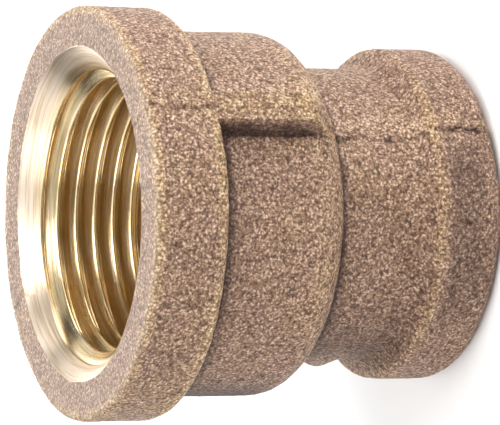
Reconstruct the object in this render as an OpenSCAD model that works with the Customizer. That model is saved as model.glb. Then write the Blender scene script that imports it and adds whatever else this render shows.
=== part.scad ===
// Reducing coupling, 1 in x 3/4 in NPT: a one-piece sand casting in bronze, threaded inside at both ends.
// Millimetres. It stands on the small end face (z = 0) and the large mouth faces up; +Z is the axis.
// The two cast ribs lie on the mould's parting plane, the XZ plane.

/* [Lengths] */
// Face to face
length = 42.9; // [40:0.1:46]
// Height of the large band
large_band = 8.4; // [7:0.1:10]
// Height of the small band
small_band = 7.6; // [6:0.1:9]
// Depth of the bell's straight body below the large face
body_depth = 19.5; // [17:0.1:21]
// Where the neck starts to flare out to the small band, above the small face
flare_height = 9.3; // [8:0.1:11]

/* [Radii] */
// Large band
large_radius = 22.5; // [21:0.1:24]
// Body between the large band and the shoulder
body_radius = 20; // [19:0.1:21]
// Neck between the shoulder and the small band
neck_radius = 16.2; // [15.5:0.1:17]
// Small band
small_radius = 18.5; // [17.5:0.1:19.5]

/* [Cast corners] */
// Outer corner of the large face
large_corner = 0.6; // [0.3:0.1:1.2]
// Back corner of the large band
band_corner = 1.2; // [0.5:0.1:1.5]
// Bell shoulder
shoulder_corner = 4.6; // [3.5:0.1:5]
// Outer corner of the small face
small_corner = 2.4; // [1:0.1:2.8]
// Back corner of the small band
flare_corner = 0.9; // [0.3:0.1:1.5]
// Fillet in each cast inside corner
cast_fillet = 0.8; // [0.4:0.1:1.2]

/* [Ribs] */
// Width across a rib
rib_width = 3.6; // [2.5:0.1:5]
// Radius to the outer face of a rib
rib_radius = 22.3; // [21.5:0.1:22.5]
// Depth of a rib's free end below the large face
rib_depth = 19.8; // [17:0.1:21]
// How far the free end slopes on, down to the shoulder
rib_slope = 2.4; // [1:0.1:3]
// Rounding along a rib's outer edges
rib_corner = 0.7; // [0.3:0.1:1.2]
// Height of the parting seam above the bands and the neck
seam_height = 0.2; // [0:0.05:0.4]
// Width of the parting seam
seam_width = 0.7; // [0.4:0.1:1.2]

/* [Threads] */
// Pitch of the 1 in NPT thread, 11.5 to the inch
large_pitch = 2.209; // [2.209]
// Crest radius of the 1 in thread at the face
large_crest = 14.85; // [14.8:0.01:14.9]
// Threaded depth at the large end
large_thread = 15.5; // [14:0.1:17]
// Angle about the axis at which the 1 in thread starts
large_start = -162; // [-180:1:180]
// Pitch of the 3/4 in NPT thread, 14 to the inch
small_pitch = 1.814; // [1.814]
// Crest radius of the 3/4 in thread at the face
small_crest = 11.56; // [11.5:0.01:11.6]
// Threaded depth at the small end
small_thread = 12.7; // [11:0.1:14]
// Radius of the machined chamfer at the large face
large_mouth = 18.2; // [17.5:0.1:18.5]
// Radius of the machined chamfer at the small face
small_mouth = 14.2; // [13.8:0.1:14.6]

/* [Waterway] */
// Depth of the 1 in drilled bore below the large face
large_bore_depth = 19.5; // [18:0.1:21]
// Height of the 3/4 in drilled bore above the small face
small_bore_height = 18.9; // [17:0.1:20]

/* [Hidden] */
// NPT taper, 1 in 16 on the diameter
taper = 1 / 32;
// Depth of the thread as a share of the pitch
thread_depth = 0.75;
// Width of the groove's root as a share of the pitch
root_flat = 0.08;
// The groove cutter starts this far inside the crest, in the open bore
crest_overlap = 0.1;
// The groove fades out over this share of the last turns
runout_turns = 1.2;
// Steps in each turn of the helix
turn_steps = 36;
large_end_radius = large_crest - large_thread * taper;
small_end_radius = small_crest - small_thread * taper;
// Facets around the axis and around the small cast corners
round_steps = 72;
corner_steps = 16;
// Overlap that keeps joined shapes from meeting in a bare face
joint = 0.5;

// A rectangle in the r-z half plane, from r0 to r1 and z0 to z1
module box_section(r0, r1, z0, z1) {
    translate([r0, z0]) square([r1 - r0, z1 - z0]);
}

// A band from r0 to r1 whose two outer corners are rounded, low at z0 and high at z1
module band_section(r0, r1, z0, z1, low, high) {
    box_section(r0, r1 - max(low, high), z0, z1);
    box_section(r1 - max(low, high) - joint, r1, z0 + low, z1 - high);
    if (low < high) box_section(r0, r1 - low, z0, z0 + low + joint);
    if (high < low) box_section(r0, r1 - high, z1 - high - joint, z1);
    translate([r1 - low, z0 + low]) circle(r = low, $fn = corner_steps);
    translate([r1 - high, z1 - high]) circle(r = high, $fn = corner_steps);
}

// The concave fillet above or below a step that meets radius r at height z
module fillet_section(r, z, size, up) {
    difference() {
        box_section(r - joint, r + size, up ? z - joint : z - size, up ? z + size : z + joint);
        translate([r + size, up ? z + size : z - size]) circle(r = size, $fn = corner_steps);
    }
}

// Half section of the cast outside; grow makes it fatter for the parting seam
module outside_section(grow = 0) {
    band_low = length - large_band;
    shoulder_z = length - body_depth;
    band_section(1, large_radius + grow, band_low, length, band_corner, large_corner);
    box_section(1, body_radius + grow, shoulder_z, band_low + joint);
    fillet_section(body_radius + grow, band_low, cast_fillet, false);
    translate([body_radius - shoulder_corner, shoulder_z])
        circle(r = shoulder_corner + grow, $fn = 2 * corner_steps);
    box_section(1, body_radius - shoulder_corner, shoulder_z - shoulder_corner, shoulder_z);
    box_section(1, neck_radius + grow, small_band, shoulder_z);
    fillet_section(neck_radius + grow, shoulder_z - shoulder_corner + 0.1, cast_fillet, false);
    band_section(1, small_radius + grow, 0, small_band, small_corner, flare_corner);
    polygon([
        [neck_radius - joint, small_band - joint],
        [small_radius - flare_corner + grow, small_band - 0.1],
        [neck_radius + grow, flare_height],
        [neck_radius - joint, flare_height]
    ]);
}

// Half section of everything machined or cored away around the axis
module bore_section() {
    polygon([
        [0, -joint],
        [small_mouth + joint, -joint],
        [small_crest - (small_mouth - small_crest) * taper, small_mouth - small_crest],
        [small_end_radius, small_thread],
        [small_end_radius, small_bore_height],
        [large_end_radius, length - large_bore_depth],
        [large_end_radius, length - large_thread],
        [large_crest - (large_mouth - large_crest) * taper, length - large_mouth + large_crest],
        [large_mouth + joint, length + joint],
        [0, length + joint]
    ]);
}

// The helical groove of a right-hand taper thread that enters at z = 0 and goes up
module thread_groove(pitch, crest, depth) {
    turns = depth / pitch;
    steps = floor(turns * turn_steps);
    half_root = root_flat * pitch / 2;
    sections = [
        for (i = [0:steps])
            let (
                z = i * pitch / turn_steps,
                left = (steps - i) / (runout_turns * turn_steps),
                cut = thread_depth * pitch * min(1, max(0.02, left)),
                inner = crest - z * taper - crest_overlap,
                outer = crest - z * taper + cut,
                half_inner = half_root + (outer - inner) * tan(30)
            )
            [
                [inner, z - half_inner],
                [outer, z - half_root],
                [outer, z + half_root],
                [inner, z + half_inner]
            ]
    ];
    points = [
        for (i = [0:steps])
            for (p = sections[i])
                [p[0] * cos(i * 360 / turn_steps), p[0] * sin(i * 360 / turn_steps), p[1]]
    ];
    sides = [
        for (i = [0:steps - 1])
            for (k = [0:3])
                let (a = 4 * i + k, b = 4 * i + (k + 1) % 4)
                for (f = [[a, b, b + 4], [a, b + 4, a + 4]]) f
    ];
    ends = [[3, 2, 1, 0], [for (k = [0:3]) 4 * steps + k]];
    polyhedron(points = points, faces = concat(sides, ends), convexity = 20);
}

// One cast rib on the +X side, from the large band to the shoulder
module rib() {
    foot = body_radius - 1.5;
    end_z = length - rib_depth;
    top_z = length - large_band + joint;
    intersection() {
        rotate([90, 0, 0])
            linear_extrude(height = rib_width + 2, center = true)
                polygon([
                    [foot, end_z - rib_slope],
                    [rib_radius - 1.6, end_z - rib_slope * 0.35],
                    [rib_radius, end_z + 0.6],
                    [rib_radius, top_z],
                    [foot, top_z]
                ]);
        translate([0, 0, end_z - 2 * rib_slope])
            linear_extrude(height = top_z - end_z + 3 * rib_slope)
                union() {
                    translate([foot - 1, -rib_width / 2])
                        square([rib_radius - rib_corner - foot + 1, rib_width]);
                    translate([foot - 1, rib_corner - rib_width / 2])
                        square([rib_radius - foot + 1, rib_width - 2 * rib_corner]);
                    for (side = [-1, 1])
                        translate([rib_radius - rib_corner, side * (rib_width / 2 - rib_corner)])
                            circle(r = rib_corner, $fn = corner_steps);
                }
    }
}

// The casting, bored and threaded at both ends
module coupling_body() {
    color([0.62, 0.47, 0.36])
    difference() {
        union() {
            rotate_extrude($fn = round_steps) outside_section();
            for (side = [0, 180])
                rotate([0, 0, side]) {
                    rib();
                    rotate([90, 0, 0])
                        linear_extrude(height = seam_width, center = true)
                            difference() {
                                outside_section(seam_height);
                                box_section(0, neck_radius - 1, -1, length + 1);
                                box_section(0, 2 * length, -1, 0.3);
                                box_section(0, 2 * length, length - 0.3, length + 1);
                            }
                }
        }
        rotate_extrude($fn = round_steps) bore_section();
        thread_groove(small_pitch, small_crest, small_thread);
        translate([0, 0, length])
            rotate([180, 0, large_start])
                thread_groove(large_pitch, large_crest, large_thread);
    }
}

coupling_body();
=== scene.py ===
"""Reducing coupling, 1 in x 3/4 in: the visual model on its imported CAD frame.

The casting is one closed mesh. Its outside is a fine grid round the axis, with the ribs, the parting seam and
the sand grain as real relief. Its inside has the chamfers and the helical taper threads. Work is in
millimetres until the mesh is made, with the small face at z = 0 and the ribs at angles 0 and 180 degrees.
"""
import math

import bpy
import numpy as np
from mathutils import Matrix, Vector


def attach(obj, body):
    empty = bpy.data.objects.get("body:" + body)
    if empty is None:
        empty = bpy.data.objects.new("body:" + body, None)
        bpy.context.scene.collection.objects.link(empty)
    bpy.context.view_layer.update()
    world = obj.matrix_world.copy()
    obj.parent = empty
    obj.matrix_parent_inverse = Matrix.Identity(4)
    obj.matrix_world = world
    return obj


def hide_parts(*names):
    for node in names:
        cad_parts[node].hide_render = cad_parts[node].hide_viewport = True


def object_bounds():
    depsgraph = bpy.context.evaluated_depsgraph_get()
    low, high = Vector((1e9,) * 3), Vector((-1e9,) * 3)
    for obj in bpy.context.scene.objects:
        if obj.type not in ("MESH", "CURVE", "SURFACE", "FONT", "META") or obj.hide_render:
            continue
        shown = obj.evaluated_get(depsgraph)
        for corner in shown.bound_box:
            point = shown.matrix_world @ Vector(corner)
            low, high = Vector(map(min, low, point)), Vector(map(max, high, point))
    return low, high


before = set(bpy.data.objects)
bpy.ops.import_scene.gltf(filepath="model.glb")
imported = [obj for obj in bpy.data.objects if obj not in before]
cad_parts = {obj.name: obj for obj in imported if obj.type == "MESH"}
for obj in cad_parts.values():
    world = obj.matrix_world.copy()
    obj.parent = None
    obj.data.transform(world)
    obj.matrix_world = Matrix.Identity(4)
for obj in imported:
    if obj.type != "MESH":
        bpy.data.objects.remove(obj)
cad_low, cad_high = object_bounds()
MM = 0.001
CAST, MACHINED = 0, 1

# ---------------------------------------------------------------- sizes, mm
LENGTH = (cad_high.z - cad_low.z) / MM
LARGE_R = cad_high.y / MM
BODY_R = 20.0
NECK_R = 16.15
SMALL_R = 18.5

# The large band's back, and the radii of its front edge, its heel and the crease behind it
BAND_Z = LENGTH - 8.4
BAND_EDGE = 0.6
BAND_HEEL = 1.2
CREASE = 0.8
# Where the body starts to round in to the neck, and where the neck ends
SHOULDER_Z = LENGTH - 19.5
SHOULDER_ARC = 4.6
NECK_TOP_Z = 17.5
# The hollow at the foot of the neck, and the small band's ridge and end
FLARE_Z = 10.3
FLARE_ARC = 1.8
RIDGE_Z = 7.23
RIDGE_ARC = 1.0
SMALL_EDGE = 2.4

RIB_R = 22.3
RIB_HALF = 1.75
RIB_DRAFT = math.tan(math.radians(6))
RIB_LOW_Z = 20.0
# How a rib's outer face runs out at the shoulder, as heights and radii
RIB_END = ((20.2, 21.4, 23.0, 24.0), (17.5, 20.1, 21.9, RIB_R))

LARGE_MOUTH = 18.2
SMALL_MOUTH = 14.2
SMALL_BORE_Z = 18.9
LARGE_BORE_Z = LENGTH - 19.5
TAPER = 1 / 32
# Pitch, crest radius at the face, depth, and the share of a turn that the start is moved round
THREADS = {
    "small": {"pitch": 1.814, "crest": 11.56, "depth": 12.7, "start": 0.0},
    "large": {"pitch": 2.209, "crest": 14.85, "depth": 15.5, "start": -0.45},
}
# Half widths of the crest and the root, the groove's depth, and the rows across one groove, in pitches
CREST_HALF = 0.042
DEPTH_SHARE = 0.75
HALF_GROOVE = (0.025, 0.06, 0.1, 0.16, 0.22, 0.28, 0.34, 0.4, 0.458)
THREAD_ROWS = tuple(-x for x in reversed(HALF_GROOVE)) + HALF_GROOVE

# How far past its thread each drilled bore starts
THREAD_END = 0.4

# The grids' steps along the outside and the bores, and the columns round the outside
ROW_STEP = 0.2
BORE_STEP = 0.3
OUTER_COLUMNS = 760

# The lump on the neck: height, angle in degrees and how far it stands out
LUMP = (14.2, -121, 0.8)
# A few pits: height, angle in degrees, size and depth
PITS = [
    (40.7, -39, 0.55, 0.32),
    (4.7, -34, 0.5, 0.3),
    (15.9, -24, 0.45, 0.28),
    (28.4, 62, 0.4, 0.2),
    (5.2, 75, 0.5, 0.25),
    (30.2, 131, 0.45, 0.25),
    (38.3, 205, 0.5, 0.25),
    (12.1, 243, 0.4, 0.2),
    (27.5, -94, 0.5, 0.2),
    (25.3, -92, 0.5, 0.2),
]
# Height of the sand grain, and the bend over half a millimetre that counts as fully rubbed where it's convex
# and as full painted shade where it's hollow
GRAIN = 0.04
FULL_BEND = 0.16


# ---------------------------------------------------------------- noise and blends
def hashed(cells, seed):
    """A number from -1 to 1 for each whole-number cell."""
    c = cells.astype(np.uint32)
    h = c[..., 0] * np.uint32(73856093) ^ c[..., 1] * np.uint32(19349663) ^ c[..., 2] * np.uint32(83492791)
    h = h ^ np.uint32(seed * 2654435761 % 4294967296)
    for _ in range(2):
        h = (h ^ (h >> np.uint32(15))) * np.uint32(2246822519)
        h = (h ^ (h >> np.uint32(13))) * np.uint32(3266489917)
    return (h ^ (h >> np.uint32(16))) / 2147483647.5 - 1


def noise(points, size, seed):
    """Smooth noise from -1 to 1 whose features are about size mm across."""
    q = points / size + 500
    cell = np.floor(q).astype(np.int64)
    f = q - cell
    f = f * f * (3 - 2 * f)
    total = 0
    for i in (0, 1):
        for j in (0, 1):
            for k in (0, 1):
                weight = np.abs(1 - i - f[..., 0]) * np.abs(1 - j - f[..., 1]) * np.abs(1 - k - f[..., 2])
                total = total + weight * hashed(cell + np.array([i, j, k]), seed)
    return total


def smooth(x, low, high):
    """0 below low, 1 above high, and a smooth step between them."""
    t = np.clip((x - low) / (high - low), 0, 1)
    return t * t * (3 - 2 * t)


def bell(x, width):
    """1 where x is 0, and near 0 beyond twice the width on each side."""
    return np.exp(-((x / width) ** 2))


def soft_max(a, b, blend):
    """The larger of a and b, rounded over where they are nearly equal."""
    h = np.clip(0.5 + 0.5 * (a - b) / blend, 0, 1)
    return b + (a - b) * h + blend * h * (1 - h)


def soft_min(a, b, blend):
    """The smaller of a and b, rounded over in the same way."""
    return -soft_max(-a, -b, blend)


def turned(angles, degrees):
    """How far round each column is from a direction given in degrees, from -pi to pi."""
    return np.angle(np.exp(1j * (angles[None] - math.radians(degrees))))


def cylinder_points(radius, z, angles):
    """Points (rows, columns, 3) from radii and heights at the columns' angles."""
    return np.stack([radius * np.cos(angles), radius * np.sin(angles), z + 0 * radius], -1)


# ---------------------------------------------------------------- the cast outside
def arc(r, z, radius, start, end):
    """Points of an arc in the half section, about a centre at radius r and height z."""
    t = np.radians(np.linspace(start, end, 40))
    return np.c_[r + radius * np.cos(t), z + radius * np.sin(t)]


def outside_path():
    """The half section from the large chamfer's edge round to the small chamfer's edge, in even steps."""
    reach = SHOULDER_ARC + CREASE
    lean = math.degrees(math.acos((NECK_R + CREASE - BODY_R + SHOULDER_ARC) / reach))
    crease_z = SHOULDER_Z - reach * math.sin(math.radians(lean))
    pieces = [
        [(LARGE_MOUTH, LENGTH)],
        arc(LARGE_R - BAND_EDGE, LENGTH - BAND_EDGE, BAND_EDGE, 90, 0),
        arc(LARGE_R - BAND_HEEL, BAND_Z + BAND_HEEL, BAND_HEEL, 0, -90),
        arc(BODY_R + CREASE, BAND_Z - CREASE, CREASE, 90, 180),
        arc(BODY_R - SHOULDER_ARC, SHOULDER_Z, SHOULDER_ARC, 0, -lean),
        arc(NECK_R + CREASE, crease_z, CREASE, 180 - lean, 180),
        arc(NECK_R + FLARE_ARC, FLARE_Z, FLARE_ARC, 180, 235),
        arc(SMALL_R - RIDGE_ARC, RIDGE_Z, RIDGE_ARC, 55, 0),
        arc(SMALL_R - SMALL_EDGE, SMALL_EDGE, SMALL_EDGE, 0, -90),
        [(SMALL_MOUTH, 0)],
    ]
    points = np.vstack([np.asarray(p, float) for p in pieces])
    along = np.r_[0, np.cumsum(np.hypot(*np.diff(points, axis=0).T))]
    rows = np.linspace(0, along[-1], int(along[-1] / ROW_STEP) + 1)
    return np.c_[np.interp(rows, along, points[:, 0]), np.interp(rows, along, points[:, 1])]


def column_angles():
    """Angles round the axis, closer together at the sides of the two ribs."""
    fine = np.linspace(0, 2 * math.pi, 20001)
    edge = math.asin(RIB_HALF / 21)
    near = np.arcsin(np.minimum(np.abs(np.sin(fine)), 1))
    density = 1 + 3.5 * bell(near - edge, 0.022)
    total = np.r_[0, np.cumsum((density[1:] + density[:-1]) / 2)]
    return np.interp(np.arange(OUTER_COLUMNS) / OUTER_COLUMNS, total / total[-1], fine)


def rib_radius(angle, z):
    """How far out the rib's surface is along a ray from the axis."""
    turn = np.abs(angle)
    top = np.interp(z, *RIB_END) / np.cos(turn)
    flank = (RIB_HALF + RIB_R * RIB_DRAFT) / (np.sin(turn) + np.cos(turn) * RIB_DRAFT)
    return soft_min(top, np.minimum(flank, 2 * BODY_R), 0.5)


def plain_outside():
    """The outside with its ribs but no texture.

    Returns the radius and height of each point, its angle from the nearer rib, the rows' normals and the
    columns' angles.
    """
    path = outside_path()
    angles = column_angles()
    tangent = np.gradient(path, axis=0)
    tangent /= np.hypot(tangent[:, 0], tangent[:, 1])[:, None]
    normal = np.c_[-tangent[:, 1], tangent[:, 0]]
    normal[0], normal[-1] = (1, 1), (1, -1)
    r = np.repeat(path[:, :1], len(angles), 1)
    z = np.repeat(path[:, 1:], len(angles), 1)
    side = np.repeat(np.angle(np.exp(2j * angles))[None] / 2, len(path), 0)

    # Rows bunched under the large band spread out along a rib, so that none of its faces has no area
    rib_top_z = BAND_Z + BAND_HEEL + 0.1
    under = (path[:, 1] < rib_top_z) & (path[:, 1] > BAND_Z - CREASE - 0.1) & (path[:, 0] < LARGE_R + 0.1)
    first, last = np.flatnonzero(under)[[0, -1]]
    spread = z.copy()
    spread[first : last + 1] = np.linspace(path[first, 1], path[last, 1], last + 1 - first)[:, None]
    span = (z > RIB_LOW_Z) & (z < rib_top_z)
    rib = np.where(span, rib_radius(side, z), 0)
    z = z + (spread - z) * smooth(rib - r, 0.0, 0.6)
    r = np.where(span, soft_max(r, rib, 0.35), r)
    return r, z, side, normal, angles


def seam_relief(out, across, on_rib, on_neck):
    """The parting seam: the depth of its broken crack, and the height of the low ridge beside it."""
    wander = across + 0.16 * noise(out, 2.4, 9) + (0.14 + 0.2 * on_neck) * noise(out, 0.8, 15)
    gaps = 0.25 + 0.75 * smooth(noise(out, 1.7, 16) + 0.6 * noise(out, 0.6, 17), -0.7, 0.7)
    spots = 0.15 + 0.85 * smooth(noise(out, 0.8, 20) + 0.8 * noise(out, 0.42, 23), -0.3, 0.8)
    gaps = gaps + (spots - gaps) * on_neck
    faint = 1 - 0.8 * on_rib
    crack = 0.19 * bell(wander + 0.42, 0.2 + 0.08 * on_neck) * gaps * faint
    broken = 0.55 + 0.45 * noise(out, 1.3, 7) + 0.3 * noise(out, 0.5, 8)
    ridge = 0.14 * bell(wander, 0.34) * broken * faint
    uneven = (0.07 + 0.06 * on_neck) * noise(out, 1.5, 13) * bell(across, 4.0)
    return crack, ridge + uneven


def lump_and_pits(out, r, z, angles):
    """The height of the lump left on the neck, less the depth of the pits."""
    lump_z, turn, height = LUMP
    relief = height * bell(turned(angles, turn) * r, 3.0) * bell(z - lump_z, 1.5) * (z < NECK_TOP_Z + 1)
    uneven = 1 + 0.35 * noise(out, 0.4, 11)
    for pit_z, turn, size, depth in PITS:
        away = np.hypot(turned(angles, turn) * r, (z - pit_z) * 0.8) * uneven
        relief = relief - depth * (1 - smooth(away, 0.2 * size, size))
    return relief


def surface_bend(points):
    """How convex (to 1) or concave (to -1) the grid is at each point over about half a millimetre."""
    reach = 5
    rows = len(points)
    up = points[np.clip(np.arange(rows) - reach, 0, rows - 1)]
    down = points[np.clip(np.arange(rows) + reach, 0, rows - 1)]
    left, right = np.roll(points, reach, 1), np.roll(points, -reach, 1)
    normal = np.cross(down - up, right - left)
    normal /= np.maximum(np.linalg.norm(normal, axis=-1, keepdims=True), 1e-9)
    middle = (up + down + left + right) / 4
    return np.clip(((points - middle) * normal).sum(-1) / FULL_BEND, -1, 1)


def wear_and_tarnish(out, r, z, across, angles, crack, on_rib):
    """How rubbed (to 1), or darkened by painted shade that is partly tarnish (to -1.5), each point is."""
    # Edges rub. Creases get painted shade, partly tarnish, but the hollow at the foot of the neck doesn't;
    # painted shade also darkens the crease where the shoulder meets the neck and the fillet behind the large
    # band
    wear = surface_bend(out)
    wear = np.where(wear < 0, wear * np.interp(z, [17.5, 18.5, 22, 24], [0, 0.7, 0.7, 1]), wear)
    wear = wear - 0.45 * bell(z - 18.5, 0.75)
    wear = wear - 0.6 * bell(z - BAND_Z + 1.3, 0.8) * (r < BODY_R + 0.9)

    # The seam and the ribs rub. Painted shade, partly tarnish, darkens the seam's crack and the corners beside
    # the ribs
    wear = wear + 0.6 * bell(across, 2.2) * (0.7 + 0.5 * noise(out, 3.0, 12)) + 0.35 * on_rib - crack / 0.14
    rib_corner_shade = bell(np.abs(across) - RIB_HALF - 0.3, 0.6) * smooth(z, 21.5, 25.5) * (z < BAND_Z)
    wear = wear - rib_corner_shade * (1.2 + 0.5 * noise(out, 1.2, 14))

    # The small band's ridge is less rubbed than the other edges. Painted shade darkens the small band at its
    # end, on the side that faces the camera and on the side opposite
    wear = wear - 0.55 * bell(z - RIDGE_Z - 0.07, 1.2) - 0.25 * (1 - smooth(z, 0.4, 3.2))
    side_shade = 0.5 + 0.4 * np.cos(2 * turned(angles, -31)) + 0.3 * noise(out, 5.0, 18)
    wear = wear - side_shade * (1 - smooth(z, 5.5, 7.5))

    # Painted shade darkens the neck and the body on their lower side as the camera sees them
    on_body = smooth(z, 18.0, 20.0)
    wear = wear - 0.9 * bell(turned(angles, -100), math.radians(36)) * smooth(z, 7.0, 10.0) * (1 - on_body)
    wear = wear - 1.35 * bell(turned(angles, -116), math.radians(24)) * on_body * (z < BAND_Z)
    return np.clip(wear, -1.5, 1)


def outside():
    """The cast outside as rows and columns of points.

    Returns the points, their grain, relief, columns' angles, rubbing and painted shade, and paleness.
    """
    r, z, side, normal, angles = plain_outside()
    out = cylinder_points(r, z, angles)
    across = side * r
    on_rib = smooth(r, RIB_R - 0.5, RIB_R - 0.1) * (z > RIB_LOW_Z) * (z < BAND_Z)
    on_neck = 1 - smooth(z, NECK_TOP_Z, NECK_TOP_Z + 2)

    # Slow waviness of the casting, sand grain in three sizes, the seam, a lump and pits
    slow = 0.07 * noise(out, 9, 1) + 0.045 * noise(out, 3.2, 2) + 0.035 * noise(out, 1.6, 19)
    grain = 0.25 * noise(out, 0.95, 3) + 0.6 * noise(out, 0.52, 4) + 0.8 * noise(out, 0.36, 5)
    crack, ridge = seam_relief(out, across, on_rib, on_neck)
    marks = lump_and_pits(out, r, z, angles) - crack
    relief = slow + ridge + GRAIN * grain + marks
    relief[-1] = np.minimum(relief[-1], 0)
    shift = relief[..., None] * normal[:, None, :]
    points = cylinder_points(r + shift[..., 0], np.maximum(z + shift[..., 1], 0), angles)

    # The grain also sets how light the metal is. It's cleaner beside the seam and duller on the ribs.
    lift = np.clip((relief - slow - ridge) / GRAIN, -1.5, 1.5)
    lift = lift + 0.8 * bell(across, 4.5) * smooth(z, 7.5, 9) * on_neck
    lift = lift + bell(across - 3.2, 1.8) * smooth(z, 19.5, 22.0) * (z < BAND_Z - 0.5)
    lift = lift - 0.7 * on_rib
    wear = wear_and_tarnish(out, r, z, across, angles, crack, on_rib)
    pale = smooth(z, LENGTH - 0.5, LENGTH - 0.1)
    return points, lift, relief, angles, wear, pale


# ---------------------------------------------------------------- the machined inside
def plain_bore(z):
    """Radius of the inside but for the thread grooves: chamfers, tapers, drilled bores and the cone between."""
    small, large = THREADS["small"], THREADS["large"]
    small_end = small["crest"] - small["depth"] * TAPER
    large_end = large["crest"] - large["depth"] * TAPER
    bore = np.interp(
        z,
        [0, small["depth"], SMALL_BORE_Z, LARGE_BORE_Z, LENGTH - large["depth"], LENGTH],
        [small["crest"], small_end, small_end, large_end, large_end, large["crest"]],
    )
    return np.maximum(bore, np.maximum(SMALL_MOUTH - z, LARGE_MOUTH - LENGTH + z))


def groove(across, depth, thread):
    """Radius that the groove reaches, at a distance from its centre in pitches and a depth below the face."""
    flank = (0.5 - CREST_HALF - np.abs(across)) / math.tan(math.radians(30))
    fade = smooth((thread["depth"] - depth) / thread["pitch"], 0.0, 1.4)
    cut = np.minimum(flank, DEPTH_SHARE) - (1 - fade) * DEPTH_SHARE
    return thread["crest"] - depth * TAPER + np.maximum(cut, 0) * thread["pitch"] - 0.001 * (fade <= 0)


def thread_grid(name, turn, edge):
    """Depth below the face, radius, and which points lie at the face's edge or past the threads.

    The rows follow the right-hand helix: turn is each column's share of a turn, and edge is the depth of the
    chamfer's outer edge in each column.
    """
    thread = THREADS[name]
    pitch = thread["pitch"]
    turns = math.ceil(thread["depth"] / pitch) + 2
    starts = np.concatenate([np.array(THREAD_ROWS) + k for k in range(-1, turns)])
    depth = (starts[:, None] + turn[None] + thread["start"]) * pitch
    across = np.repeat((starts - np.round(starts))[:, None], len(turn), 1)
    at_edge = depth <= edge[None] + 0.01
    past = depth >= thread["depth"] + THREAD_END - 0.01
    wall = plain_bore(depth if name == "small" else LENGTH - depth)
    return depth, np.maximum(groove(across, depth, thread), wall), at_edge, past


# ---------------------------------------------------------------- one closed mesh
class Shell:
    """Gathers grids of points and the faces between them."""

    LAYERS = ("grain", "wear", "pale")

    def __init__(self):
        self.count = 0
        self.points, self.faces, self.materials = [], [], []
        self.layers = {name: [] for name in self.LAYERS}

    def add(self, points, **layers):
        """Adds a grid of points and returns their numbers in the same shape."""
        n = points.shape[0] * points.shape[1]
        self.points.append(points.reshape(-1, 3))
        for name in self.LAYERS:
            self.layers[name].append(layers[name].ravel() if name in layers else np.zeros(n))
        numbers = np.arange(self.count, self.count + n).reshape(points.shape[:2])
        self.count += n
        return numbers

    def skin(self, numbers, material):
        """Faces between the rows and columns of point numbers. Points that coincide share a number."""
        a, b = numbers[:-1, :-1], numbers[1:, :-1]
        c, d = numbers[1:, 1:], numbers[:-1, 1:]
        quads = np.stack([a, b, c, d], -1).reshape(-1, 4)
        self.faces.append(quads)
        self.materials.append(np.full(len(quads), material))

    def sound_faces(self, rim):
        """The faces as rows of up to five point numbers, padded with -1, and their materials.

        Faces without area are dropped, and a face side that spans a rim point takes that point in.
        """
        quads = np.vstack(self.faces)
        kinds = np.concatenate(self.materials)
        same = quads == np.roll(quads, -1, 1)
        good = (same.sum(1) < 2) & (quads[:, 0] != quads[:, 2]) & (quads[:, 1] != quads[:, 3])
        quads, kinds, same = quads[good], kinds[good], same[good]
        corners = np.full((len(quads), 5), -1)
        corners[:, :4] = np.where(same, -1, quads)
        on_rim = np.zeros(self.count, bool)
        on_rim[[p for pair in rim for p in pair]] = True
        for k in np.flatnonzero((on_rim[quads].sum(1) > 1) & (kinds == MACHINED)):
            loop = [v for v in corners[k] if v >= 0]
            filled = []
            for v, after in zip(loop, loop[1:] + loop[:1]):
                filled.append(v)
                if (v, after) in rim:
                    filled.append(rim[v, after])
            corners[k] = filled + [-1] * (5 - len(filled))
        return corners, kinds

    def mesh(self, name, rim):
        """The Blender mesh, in metres, with the layers as attributes."""
        corners, kinds = self.sound_faces(rim)
        used = np.unique(corners[corners >= 0])
        renumber = np.full(self.count, -1)
        renumber[used] = np.arange(len(used))
        sizes = (corners >= 0).sum(1)
        loops = renumber[corners[corners >= 0]]
        points = np.vstack(self.points)[used] * MM

        mesh = bpy.data.meshes.new(name)
        mesh.vertices.add(len(points))
        mesh.vertices.foreach_set("co", points.astype(np.float32).ravel())
        mesh.loops.add(len(loops))
        mesh.loops.foreach_set("vertex_index", loops.astype(np.int32))
        mesh.polygons.add(len(sizes))
        mesh.polygons.foreach_set("loop_start", np.r_[0, np.cumsum(sizes)[:-1]].astype(np.int32))
        mesh.polygons.foreach_set("material_index", kinds.astype(np.int32))
        mesh.polygons.foreach_set("use_smooth", np.ones(len(sizes), bool))
        mesh.update(calc_edges=True)
        for label, values in self.layers.items():
            layer = mesh.attributes.new(label, "FLOAT", "POINT")
            layer.data.foreach_set("value", np.concatenate(values)[used].astype(np.float32))
        return mesh


def closed(numbers, shift=0):
    """The grid with its first column again at the end, shifted along the helix by so many rows."""
    rows = np.clip(np.arange(len(numbers)) + shift, 0, len(numbers) - 1)
    return np.c_[numbers, numbers[rows, 0]]


def add_bores(shell, inner):
    """The drilled bores and the cored cone between the two threads. Returns the grid's point numbers."""
    low = THREADS["small"]["depth"] + THREAD_END
    high = LENGTH - THREADS["large"]["depth"] - THREAD_END
    rows = np.r_[np.arange(low, high, BORE_STEP), high]
    radius = plain_bore(rows)
    for _ in range(2):
        radius[1:-1] = (radius[:-2] + 2 * radius[1:-1] + radius[2:]) / 4
    grid = cylinder_points(np.repeat(radius[:, None], len(inner), 1), rows[:, None], inner)
    rough = 0.05 * noise(grid, 1.1, 21) + 0.04 * noise(grid, 0.6, 22)
    cored = smooth(rows, SMALL_BORE_Z, SMALL_BORE_Z + 0.6)
    cored = cored * (1 - smooth(rows, LARGE_BORE_Z - 0.6, LARGE_BORE_Z))
    moved = cylinder_points(radius[:, None] + rough * cored[:, None], rows[:, None], inner)
    numbers = shell.add(moved, grain=rough / 0.06)
    around = closed(numbers)
    cone = (rows > SMALL_BORE_Z - 0.2) & (rows < LARGE_BORE_Z + 0.2)
    for first in range(len(rows) - 1):
        shell.skin(around[first : first + 2], CAST if cone[first] else MACHINED)
    return numbers


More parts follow.
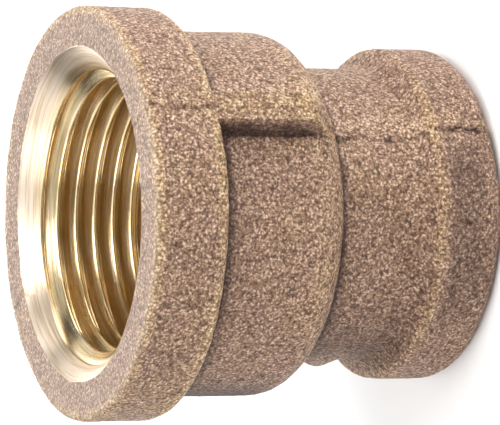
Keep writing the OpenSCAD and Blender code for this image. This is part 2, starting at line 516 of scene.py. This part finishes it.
def build_casting():
    """The whole casting as one closed mesh, with its sand grain, its rubbed edges and its painted shade stored
    on the points.
    """
    shell = Shell()
    points, lift, relief, angles, wear, pale = outside()
    outer = shell.add(points, grain=lift, wear=wear, pale=pale)
    shell.skin(closed(outer), CAST)
    inner = angles[::2]
    middle = add_bores(shell, inner)

    # The threads, each from its chamfer's edge on the outside grid to the nearest drilled bore
    turn = inner / (2 * math.pi)
    per_pitch = len(THREAD_ROWS)
    for name, face_row, bore_row, shift in (("small", -1, 0, per_pitch), ("large", 0, -1, -per_pitch)):
        share = turn if name == "small" else 1 - turn
        depth, radius, at_edge, past = thread_grid(name, share, -relief[face_row, ::2])
        z = depth if name == "small" else LENGTH - depth
        ripple = 0.006 * noise(np.stack([radius, z, 3 * share[None] + 0 * z], -1), 0.25, 31)
        numbers = shell.add(cylinder_points(radius + ripple, z, inner))
        numbers = np.where(at_edge, outer[face_row, ::2][None], numbers)
        numbers = np.where(past, middle[bore_row][None], numbers)
        around = closed(numbers, shift)
        shell.skin(around if name == "small" else around[::-1], MACHINED)

    # The outside has twice as many columns as the inside, so every second point of its edges lies between two
    rim = {}
    for ring in (outer[0], outer[-1]):
        for before, between, after in zip(ring[::2], ring[1::2], np.roll(ring, -2)[::2]):
            rim[before, after] = rim[after, before] = between
    return shell.mesh("coupling_body", rim)


# ---------------------------------------------------------------- materials
class Nodes:
    """Short names for making and linking shader nodes."""

    def __init__(self, name):
        self.material = bpy.data.materials.new(name)
        self.material.use_nodes = True
        self.tree = self.material.node_tree
        self.shader = self.tree.nodes["Principled BSDF"]

    def make(self, kind, inputs=(), **settings):
        node = self.tree.nodes.new(kind)
        for key, value in settings.items():
            setattr(node, key, value)
        for key, value in dict(inputs).items():
            if isinstance(value, bpy.types.NodeSocket):
                self.tree.links.new(value, node.inputs[key])
            else:
                node.inputs[key].default_value = value
        return node

    def math(self, operation, a, b=0.0, clamp=False):
        return self.make("ShaderNodeMath", {0: a, 1: b}, operation=operation, use_clamp=clamp).outputs[0]

    def mul_add(self, value, factor, extra, clamp=False):
        inputs = {0: value, 1: factor, 2: extra}
        return self.make("ShaderNodeMath", inputs, operation="MULTIPLY_ADD", use_clamp=clamp).outputs[0]

    def vector_math(self, operation, a, b):
        return self.make("ShaderNodeVectorMath", {0: a, 1: b}, operation=operation).outputs[0]

    def place(self):
        return self.make("ShaderNodeTexCoord").outputs["Object"]

    def noise(self, vector, size, detail=2.0, roughness=0.5):
        """Noise from 0 to 1 with features about size mm across."""
        inputs = {"Vector": vector, "Scale": 1 / (size * MM), "Detail": detail, "Roughness": roughness}
        return self.make("ShaderNodeTexNoise", inputs).outputs["Fac"]

    def ramp(self, value, stops):
        node = self.make("ShaderNodeValToRGB", {"Fac": value})
        points = node.color_ramp.elements
        while len(points) < len(stops):
            points.new(0.5)
        for point, (place, colour) in zip(points, stops):
            point.position = place
            point.color = (*colour, 1)
        return node.outputs["Color"]

    def mix(self, share, a, b, kind="MIX"):
        node = self.make("ShaderNodeMix", {"Factor": share}, data_type="RGBA", blend_type=kind)
        for socket, value in ((node.inputs[6], a), (node.inputs[7], b)):
            if isinstance(value, bpy.types.NodeSocket):
                self.tree.links.new(value, socket)
            else:
                socket.default_value = (*value, 1)
        return node.outputs[2]

    def attribute(self, name):
        return self.make("ShaderNodeAttribute", attribute_name=name).outputs["Fac"]

    def link(self, value, socket):
        self.tree.links.new(value, self.shader.inputs[socket])

    def bump(self, height, distance):
        inputs = {"Height": height, "Distance": distance, "Strength": 1.0}
        self.link(self.make("ShaderNodeBump", inputs).outputs["Normal"], "Normal")

    def constant(self, **values):
        """Sets plain numbers on the shader's own sockets, such as Metallic."""
        for socket, value in values.items():
            self.shader.inputs[socket.replace("_", " ")].default_value = value


# Colours of the casting from its pits to its grain tops, as it comes from the sand and where it has rubbed
SAND_COLOURS = [
    (0.12, (0.075, 0.039, 0.025)),
    (0.42, (0.235, 0.134, 0.088)),
    (0.62, (0.41, 0.257, 0.174)),
    (0.9, (0.80, 0.61, 0.465)),
]
RUBBED_COLOURS = [
    (0.12, (0.08, 0.042, 0.018)),
    (0.42, (0.28, 0.167, 0.078)),
    (0.62, (0.49, 0.323, 0.165)),
    (0.9, (0.90, 0.71, 0.45)),
]
# Brown grey of the painted shade, partly tarnish, in creases, beside the ribs and on the sides turned from the
# light
SHADE_AND_TARNISH = (0.25, 0.205, 0.2)
PALE_FACE = (0.84, 0.71, 0.61)
# Colours of the cut metal from its dark tool lines to its bright ones, in the bore and on the chamfers
BORE_COLOURS = [(0.38, (0.67, 0.475, 0.21)), (0.53, (0.85, 0.69, 0.43)), (0.68, (0.96, 0.87, 0.72))]
CHAMFER_COLOURS = [(0.42, (0.69, 0.53, 0.385)), (0.5, (0.86, 0.72, 0.585)), (0.58, (0.92, 0.80, 0.68))]
BORE_PATCH = (0.84, 0.66, 0.37)
FLOOR_COLOURS = [(0.3, (0.96, 0.96, 0.96)), (0.7, (0.99, 0.99, 0.99))]


def cast_bronze():
    """Sand-cast bronze: pinkish brown with dark pits, pale grains and a gold tint where edges have rubbed, and
    painted shade, partly tarnish, in creases, beside the ribs and on the sides turned from the light.
    """
    n = Nodes("cast_bronze")
    place = n.place()
    wear = n.attribute("wear")

    # Fine grain: cells of uneven shape with specks on them
    uneven = {"Vector": place, "Scale": 1 / (0.5 * MM), "Detail": 1.0}
    jitter = n.make("ShaderNodeTexNoise", uneven).outputs["Color"]
    moved = n.vector_math("ADD", place, n.vector_math("MULTIPLY", jitter, (0.45 * MM,) * 3))
    cell = {"Vector": moved, "Scale": 1 / (0.4 * MM)}
    cells = n.make("ShaderNodeTexVoronoi", cell, feature="F1").outputs["Distance"]
    speck = n.noise(place, 0.26, 3.0, 0.75)
    height = n.mul_add(cells, -0.4, n.mul_add(speck, 1.3, 0.03))

    level = n.mul_add(n.attribute("grain"), 0.08, n.mul_add(height, 1.5, -0.245))
    level = n.math("ADD", level, n.math("MULTIPLY", n.math("MAXIMUM", wear, 0.0), 0.07))
    patch = n.noise(place, 9.0, 3.0, 0.6)
    rubbed = n.math("ADD", n.math("MULTIPLY", wear, 0.7), n.mul_add(patch, 1.6, -0.75), True)
    colour = n.mix(rubbed, n.ramp(level, SAND_COLOURS), n.ramp(level, RUBBED_COLOURS))
    # Painted shade, partly tarnish: the colour is multiplied towards a brown grey where the points are marked
    # as shaded
    colour = n.mix(n.mul_add(wear, -1.1, -0.35, True), colour, SHADE_AND_TARNISH, "MULTIPLY")
    colour = n.mix(n.math("MULTIPLY", n.attribute("pale"), 0.16), colour, PALE_FACE)
    n.link(colour, "Base Color")
    n.link(n.mul_add(level, -0.15, 0.62), "Roughness")
    n.constant(Metallic=0.3)
    n.bump(height, 0.22 * MM)
    return n.material


def machined_bronze():
    """Freshly cut bronze: pale gold, with fine tool lines that run round the axis, and paler chamfers."""
    n = Nodes("machined_bronze")
    place = n.place()
    axes = n.make("ShaderNodeSeparateXYZ", {"Vector": place}).outputs
    turn = n.math("ARCTAN2", axes["Y"], axes["X"])
    radius = n.math("SQRT", n.mul_add(axes["X"], axes["X"], n.math("MULTIPLY", axes["Y"], axes["Y"])))
    around = {"X": radius, "Y": axes["Z"], "Z": n.math("MULTIPLY", turn, 0.45 * MM)}
    along = n.make("ShaderNodeCombineXYZ", around).outputs[0]
    lines = n.noise(along, 0.12, 3.0, 0.6)
    broad = n.noise(along, 0.4, 2.0, 0.5)
    tone = n.mul_add(lines, 0.5, n.math("MULTIPLY", broad, 0.5))
    middle = n.math("ABSOLUTE", n.math("SUBTRACT", axes["Z"], LENGTH / 2 * MM))
    ends = {0: middle, 1: (LENGTH / 2 - 2.6) * MM, 2: (LENGTH / 2 - 1.2) * MM}
    chamfer = n.make("ShaderNodeMapRange", ends).outputs[0]

    colour = n.mix(n.math("MULTIPLY", n.noise(place, 4.0), 0.3), n.ramp(tone, BORE_COLOURS), BORE_PATCH)
    colour = n.mix(n.math("MULTIPLY", chamfer, 0.85), colour, n.ramp(tone, CHAMFER_COLOURS))
    n.link(colour, "Base Color")
    n.link(n.mul_add(broad, 0.12, n.mul_add(chamfer, 0.16, 0.19)), "Roughness")
    n.constant(Metallic=1.0, Anisotropic=0.8, Anisotropic_Rotation=0.25)
    n.link(n.make("ShaderNodeTangent", direction_type="RADIAL", axis="Z").outputs[0], "Tangent")
    n.bump(n.mul_add(lines, 0.4, broad), n.mul_add(chamfer, -0.008 * MM, 0.02 * MM))
    return n.material


def pale_floor():
    """Plain off-white card."""
    n = Nodes("pale_floor")
    n.link(n.ramp(n.noise(n.place(), 40.0), FLOOR_COLOURS), "Base Color")
    n.constant(Roughness=0.9)
    return n.material


# ---------------------------------------------------------------- camera
# The coupling is seen from 24.3 degrees above the large mouth's edge, with the camera on its side, so that
# the bore's axis lies level in the picture. One rib is 31 degrees round from the side that faces the camera.
TILT = math.radians(24.31)
RIB_TURN = math.radians(31)
LENS = 283.6
AWAY, LEFT, UP = 426.46 * MM, 18.77 * MM, -0.16 * MM

centre = (cad_low + cad_high) / 2
mouth = Vector((centre.x, centre.y, cad_high.z))
# The camera side's level direction, and the picture's right and top as the camera lies
near = Vector((math.cos(RIB_TURN), -math.sin(RIB_TURN), 0))
right = near * math.sin(TILT) - Vector((0, 0, 1)) * math.cos(TILT)
up = Vector((math.sin(RIB_TURN), math.cos(RIB_TURN), 0))
back = right.cross(up)

camera_data = bpy.data.cameras.new("camera")
camera_data.lens = LENS
camera_data.clip_start, camera_data.clip_end = 0.01, 20
camera = bpy.data.objects.new("camera", camera_data)
camera.matrix_world = Matrix((right, up, back)).transposed().to_4x4()
camera.location = mouth + LEFT * right - UP * up + AWAY * back
bpy.context.scene.collection.objects.link(camera)
bpy.context.scene.camera = camera

# ---------------------------------------------------------------- the coupling
casting = bpy.data.objects.new("coupling", build_casting())
casting.data.materials.append(cast_bronze())
casting.data.materials.append(machined_bronze())
bpy.context.scene.collection.objects.link(casting)
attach(casting, "root")
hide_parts("coupling_body")

# ---------------------------------------------------------------- floor and light
FLOOR_HALF = 3
FLOOR_CORNERS = [(-1, -1), (1, -1), (1, 1), (-1, 1)]
floor_mesh = bpy.data.meshes.new("floor")
floor_mesh.from_pydata([(x * FLOOR_HALF, y * FLOOR_HALF, 0) for x, y in FLOOR_CORNERS], [], [(0, 1, 2, 3)])
floor_mesh.materials.append(pale_floor())
floor = bpy.data.objects.new("floor", floor_mesh)
floor.location.z = cad_low.z
bpy.context.scene.collection.objects.link(floor)

world = bpy.data.worlds.new("world")
world.use_nodes = True
sky = world.node_tree.nodes["Background"]
sky.inputs["Color"].default_value = (1, 1, 1, 1)
sky.inputs["Strength"].default_value = 0.06
bpy.context.scene.world = world
bpy.context.scene.view_settings.view_transform = "Standard"

# Soft boxes: how far each one's direction leans to the mouth's side, to the top of the picture and to the
# camera's side, its size in metres and its power in watts
LIGHT_AWAY = 0.5
SOFT_BOXES = {
    "key": (1.0, 0.7, 0.7, 0.25, 0.85),
    "top": (0.1, 1.0, -0.1, 0.3, 2.42),
    "top_front": (0.1, 1.0, 0.6, 0.3, 1.0),
    "low": (0.9, -0.85, 0.7, 0.3, 1.35),
    "front": (1.0, 0.0, 0.8, 0.25, 0.35),
    "glint": (1.0, 0.27, 0.1, 0.18, 0.75),
    "mouth_panel": (1.0, -0.1, -0.1, 0.9, 1.3),
    "low_back": (0.7, -0.8, -0.2, 0.35, 0.42),
    "top_back": (0.35, 0.6, -1.0, 0.3, 0.24),
    "back": (0.35, 0.0, -1.0, 0.3, 0.9),
}
for name, (to_mouth, to_top, to_camera, size, watts) in SOFT_BOXES.items():
    direction = (to_mouth * Vector((0, 0, 1)) + to_top * up + to_camera * near).normalized()
    data = bpy.data.lights.new(name, "AREA")
    data.size = size
    data.energy = watts
    light = bpy.data.objects.new(name, data)
    light.location = centre + direction * LIGHT_AWAY
    light.rotation_mode = "QUATERNION"
    light.rotation_quaternion = direction.to_track_quat("Z", "Y")
    bpy.context.scene.collection.objects.link(light)
